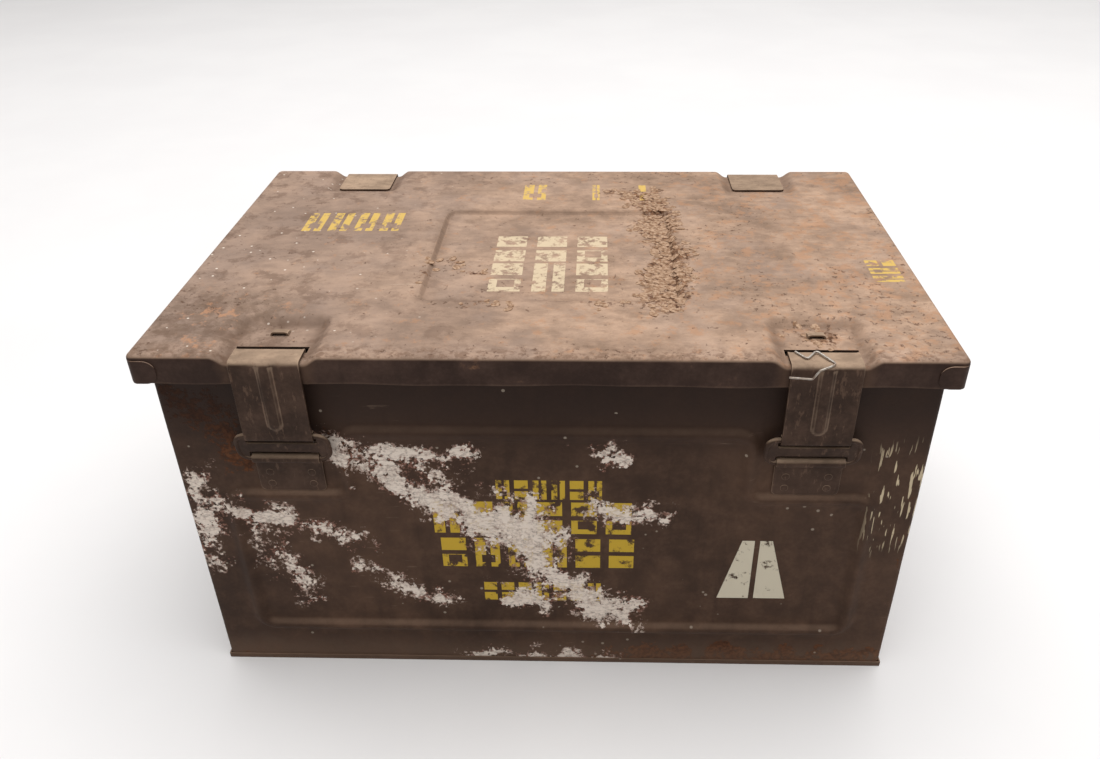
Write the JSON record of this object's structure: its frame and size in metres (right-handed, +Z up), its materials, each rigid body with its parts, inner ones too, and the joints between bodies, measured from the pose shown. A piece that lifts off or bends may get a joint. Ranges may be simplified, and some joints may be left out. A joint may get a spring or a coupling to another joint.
{
  "type": "shipping crate",
  "caption": "Steel carrying crate with a hinged pressed lid, strap latches on the front and drop handles on the ends.",
  "frame": {"origin": "middle of the underside of the base tray, on the floor", "axes": "+X along the crate's length to the right, -Y out of the front with the latches, +Z up"},
  "size_m": [0.4426, 0.288, 0.236],
  "materials": {
    "body_paint": "old dark brown paint, flat, chipped, rusty and stained",
    "lid_paint": "faded brown paint under dust, chipped to rust",
    "fitting_paint": "brown paint worn from the edges",
    "bare_steel": "dull steel with a brown tarnish",
    "seal_rubber": "matt black rubber"
  },
  "bodies": {
    "crate": {"base_pan": "body_paint", "front_panel": "body_paint", "back_panel": "body_paint", "left_end_panel": "body_paint", "right_end_panel": "body_paint", "left_latch_plate": "fitting_paint", "left_hinge_body_leaf": "fitting_paint", "left_hinge_pin": "bare_steel", "left_handle_front_clip": "fitting_paint", "left_handle_back_clip": "fitting_paint", "right_latch_plate": "fitting_paint", "right_hinge_body_leaf": "fitting_paint", "right_hinge_pin": "bare_steel", "right_handle_front_clip": "fitting_paint", "right_handle_back_clip": "fitting_paint"},
    "lid": {"lid_shell": "lid_paint", "lid_gasket": "seal_rubber", "left_hinge_lid_leaf": "fitting_paint", "right_hinge_lid_leaf": "fitting_paint"},
    "left_link": {"left_link": "fitting_paint"},
    "left_strap": {"left_strap": "fitting_paint"},
    "left_handle": {"left_handle": "bare_steel"},
    "right_link": {"right_link": "fitting_paint"},
    "right_strap": {"right_strap": "fitting_paint", "right_seal_wire": "bare_steel"},
    "right_handle": {"right_handle": "bare_steel"}
  },
  "joints": [
    {"name": "lid_hinge", "type": "hinge", "parent": "crate", "child": "lid", "pos_m": [0, 0.13894, 0.21404], "axis": [-1, 0, 0], "range_deg": [0, 180]},
    {"name": "left_link_hinge", "type": "hinge", "parent": "crate", "child": "left_link", "pos_m": [-0.1465, -0.13648, 0.167], "axis": [1, 0, 0], "range_deg": [0, 120]},
    {"name": "left_strap_hinge", "type": "hinge", "parent": "left_link", "child": "left_strap", "pos_m": [-0.1465, -0.13982, 0.1845], "axis": [1, 0, 0], "range_deg": [0, 60]},
    {"name": "left_handle_swing", "type": "hinge", "parent": "crate", "child": "left_handle", "pos_m": [-0.21688, 0, 0.152], "axis": [0, 1, 0], "range_deg": [0, 95]},
    {"name": "right_link_hinge", "type": "hinge", "parent": "crate", "child": "right_link", "pos_m": [0.1465, -0.13648, 0.167], "axis": [1, 0, 0], "range_deg": [0, 120]},
    {"name": "right_strap_hinge", "type": "hinge", "parent": "right_link", "child": "right_strap", "pos_m": [0.1465, -0.13982, 0.1845], "axis": [1, 0, 0], "range_deg": [0, 60]},
    {"name": "right_handle_swing", "type": "hinge", "parent": "crate", "child": "right_handle", "pos_m": [0.21688, 0, 0.152], "axis": [0, -1, 0], "range_deg": [0, 95]}
  ]
}
